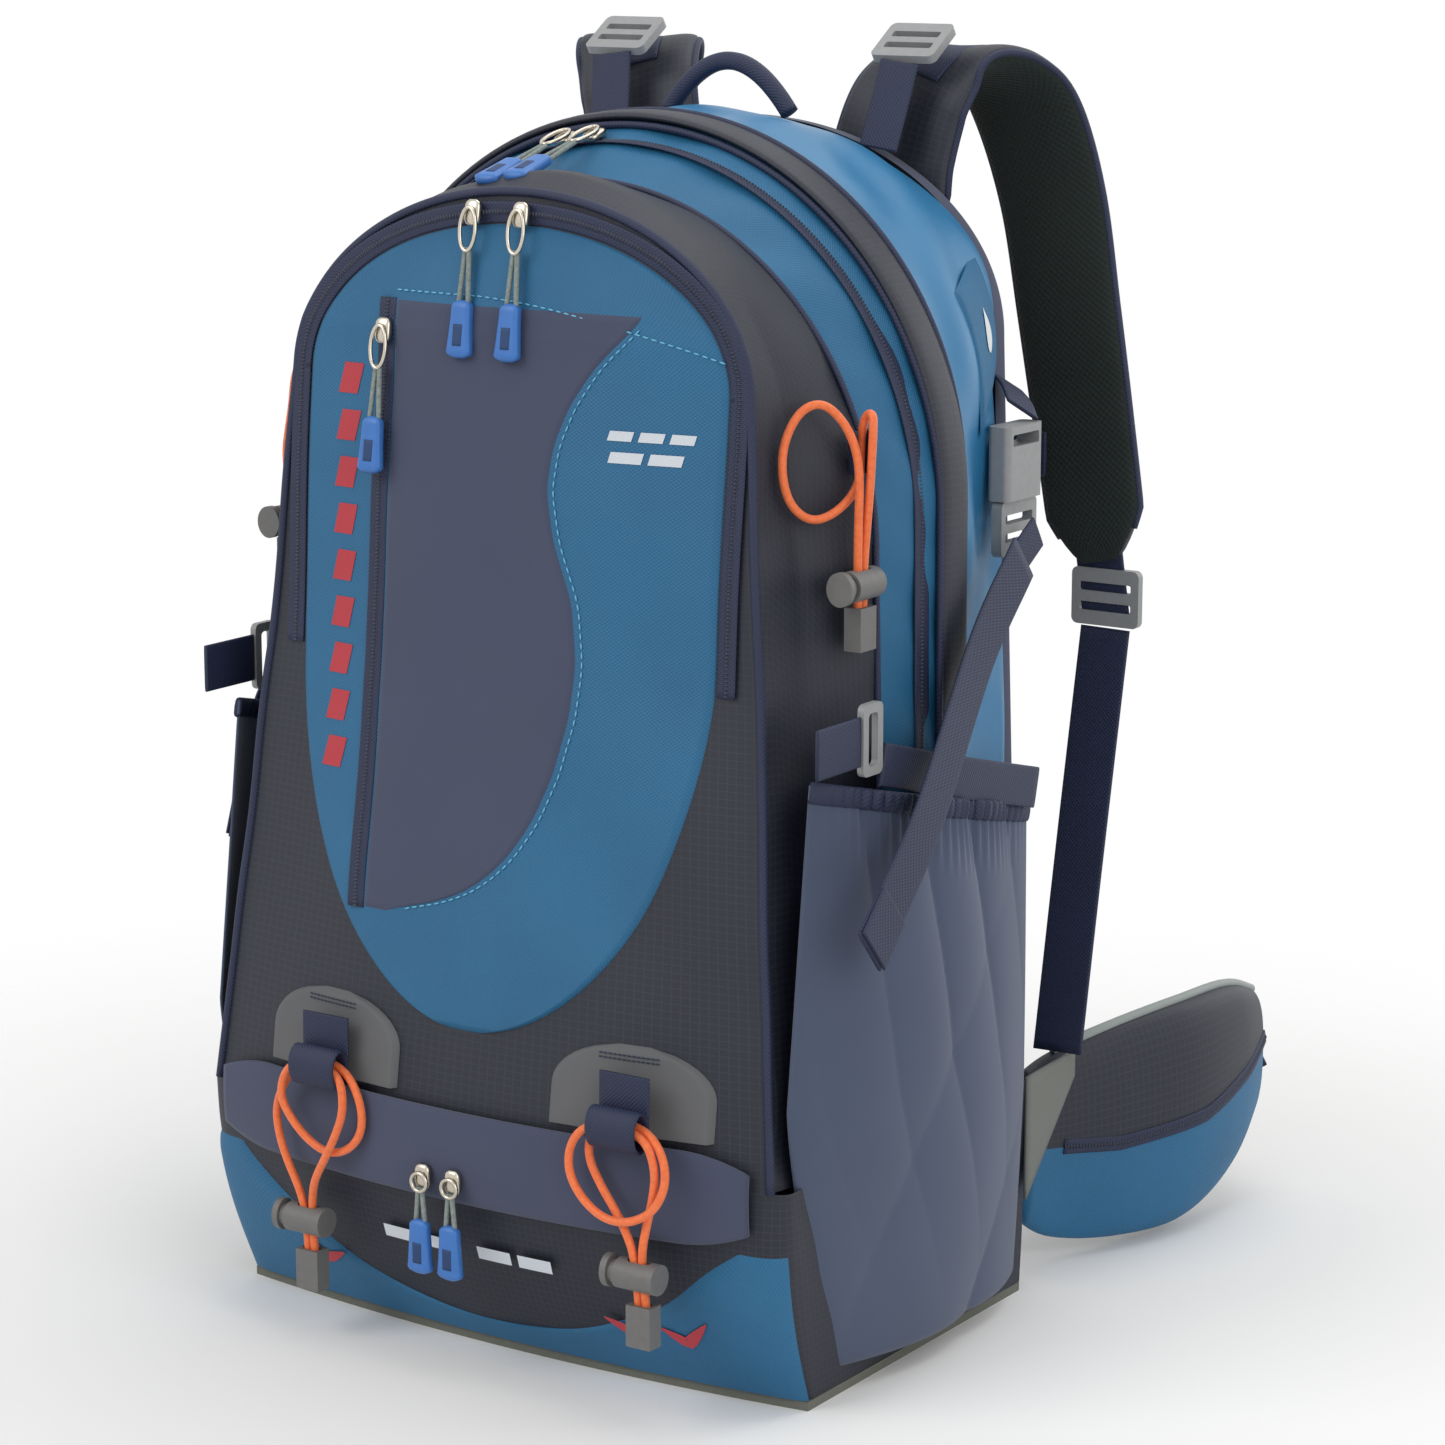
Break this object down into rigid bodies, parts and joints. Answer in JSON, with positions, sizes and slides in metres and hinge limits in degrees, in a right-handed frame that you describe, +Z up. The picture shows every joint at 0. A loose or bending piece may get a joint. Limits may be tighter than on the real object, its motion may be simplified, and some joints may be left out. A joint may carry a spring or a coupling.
{
  "type": "daypack",
  "caption": "Hiking daypack with zipped main, front and bottom compartments, side pockets, padded shoulder harness, hip belt and elastic tool loops.",
  "frame": {"origin": "middle of the base panel, on the floor the pack stands on", "axes": "+X to the right of the front pocket as the camera sees it, -Y out of the front pocket, +Y to the wearer, +Z up"},
  "size_m": [0.3678, 0.4444, 0.5626],
  "materials": {
    "nylon": "smooth coated nylon",
    "oxford": "oxford weave",
    "ripstop": "dark ripstop",
    "softshell": "brushed softshell",
    "mesh": "air mesh",
    "webbing_navy": "ribbed webbing",
    "plastic_grey": "moulded acetal",
    "plastic_orange": "moulded acetal",
    "zinc": "nickel-plated zinc",
    "elastic": "braided elastic cord",
    "patch": "grey synthetic leather",
    "coil": "nylon coil zip",
    "sheet": "HDPE sheet",
    "steel": "spring wire",
    "base": "coated base cloth"
  },
  "bodies": {
    "bag": {"back_pads": "mesh", "back_panel": "mesh", "base_panel": "base", "base_tabs": "patch", "bottom_compartment": "ripstop", "buckle_loop_left": "webbing_navy", "buckle_loop_right": "webbing_navy", "bungee_front_left": "elastic", "bungee_front_right": "elastic", "bungee_side_left": "elastic", "bungee_side_right": "elastic", "compression_straps": "webbing_navy", "cord_ends": "plastic_grey", "cord_locks": "plastic_grey", "face_panel": "oxford", "frame_sheet": "sheet", "front_pocket": "ripstop", "front_zips": "coil", "hydration_sleeve": "nylon", "lash_patches": "patch", "load_lifters": "webbing_navy", "lock_springs": "steel", "lower_front_panel": "ripstop", "lower_webbing_left": "webbing_navy", "lower_webbing_right": "webbing_navy", "main_compartment": "nylon", "main_zip": "coil", "side_plugs": "plastic_grey", "side_pocket_left": "softshell", "side_pocket_right": "softshell", "side_rings": "plastic_grey", "softshell_panel": "softshell", "storm_flap": "ripstop", "webbing_loops": "webbing_navy", "zip_cover_band": "softshell"},
    "harness": {"shoulder_pad_left": "mesh", "shoulder_pad_right": "mesh", "ladder_locks": "plastic_grey", "sternum_strap": "webbing_navy", "sternum_buckle": "plastic_orange"},
    "haul": {"haul_loop": "webbing_navy"},
    "wing_right": {"hip_wing_right": "ripstop", "hip_strap_right": "webbing_navy", "hip_socket": "plastic_grey"},
    "wing_left": {"hip_wing_left": "ripstop", "hip_strap_left": "webbing_navy", "hip_plug": "plastic_grey"},
    "socket_right": {"side_socket_right": "plastic_grey"},
    "socket_left": {"side_socket_left": "plastic_grey"},
    "bottom_slider_left_pull": {"bottom_slider_left": "zinc"},
    "bottom_slider_right_pull": {"bottom_slider_right": "zinc"},
    "button_front_left": {"cord_button_front_left": "plastic_grey"},
    "button_front_right": {"cord_button_front_right": "plastic_grey"},
    "button_side_left": {"cord_button_side_left": "plastic_grey"},
    "button_side_right": {"cord_button_side_right": "plastic_grey"},
    "front_slider_left_pull": {"front_slider_left": "zinc"},
    "front_slider_right_pull": {"front_slider_right": "zinc"},
    "main_slider_left_pull": {"main_slider_left": "zinc"},
    "main_slider_right_pull": {"main_slider_right": "zinc"},
    "stash_slider_pull": {"stash_slider": "zinc"}
  },
  "joints": [
    {"name": "harness_swing", "type": "hinge", "parent": "bag", "child": "harness", "pos_m": [0, 0.0989, 0.519], "axis": [1, 0, 0], "range_deg": [0, 15], "deforming": ["load_lifters", "lower_webbing_left", "lower_webbing_right"]},
    {"name": "haul_swing", "type": "hinge", "parent": "bag", "child": "haul", "pos_m": [0, 0.07, 0.5239], "axis": [1, 0, 0], "range_deg": [-70, 60]},
    {"name": "wing_right_fold", "type": "hinge", "parent": "bag", "child": "wing_right", "pos_m": [0.134, 0.0991, 0.05], "axis": [0, 0, 1], "range_deg": [-5, 35]},
    {"name": "wing_left_fold", "type": "hinge", "parent": "bag", "child": "wing_left", "pos_m": [-0.134, 0.0991, 0.05], "axis": [0, 0, 1], "range_deg": [-35, 5]},
    {"name": "socket_right_slide", "type": "slide", "parent": "bag", "child": "socket_right", "axis": [0, 0, 1], "range_m": [0, 0.02], "deforming": ["buckle_loop_right"]},
    {"name": "socket_left_slide", "type": "slide", "parent": "bag", "child": "socket_left", "axis": [0, 0, 1], "range_m": [0, 0.02], "deforming": ["buckle_loop_left"]},
    {"name": "button_front_right_press", "type": "slide", "parent": "bag", "child": "button_front_right", "axis": [1, 0, 0], "range_m": [0, 0.003], "stiffness_N_per_m": 300},
    {"name": "button_front_left_press", "type": "slide", "parent": "bag", "child": "button_front_left", "axis": [1, 0, 0], "range_m": [0, 0.003], "stiffness_N_per_m": 300},
    {"name": "button_side_right_press", "type": "slide", "parent": "bag", "child": "button_side_right", "axis": [0, 1, 0], "range_m": [0, 0.003], "stiffness_N_per_m": 300},
    {"name": "button_side_left_press", "type": "slide", "parent": "bag", "child": "button_side_left", "axis": [0, 1, 0], "range_m": [0, 0.003], "stiffness_N_per_m": 300},
    {"name": "front_right_zip", "type": "hinge", "parent": "bag", "child": "front_slider_right_pull", "pos_m": [0, -0.09, 0.319], "axis": [0, 1, 0], "range_deg": [0, 14]},
    {"name": "front_left_zip", "type": "hinge", "parent": "bag", "child": "front_slider_left_pull", "pos_m": [0, -0.09, 0.319], "axis": [0, 1, 0], "range_deg": [-14, 0]},
    {"name": "stash_zip", "type": "slide", "parent": "bag", "child": "stash_slider_pull", "axis": [0, -0.1191, -0.9929], "range_m": [0, 0.21]},
    {"name": "main_right_zip", "type": "hinge", "parent": "bag", "child": "main_slider_right_pull", "pos_m": [0, -0.014, 0.3627], "axis": [0, 1, 0], "range_deg": [0, 55]},
    {"name": "main_left_zip", "type": "hinge", "parent": "bag", "child": "main_slider_left_pull", "pos_m": [0, -0.014, 0.3627], "axis": [0, 1, 0], "range_deg": [-50, 0]},
    {"name": "bottom_right_zip", "type": "slide", "parent": "bag", "child": "bottom_slider_right_pull", "axis": [1, 0, 0], "range_m": [0, 0.045]},
    {"name": "bottom_left_zip", "type": "slide", "parent": "bag", "child": "bottom_slider_left_pull", "axis": [1, 0, 0], "range_m": [-0.028, 0]}
  ]
}
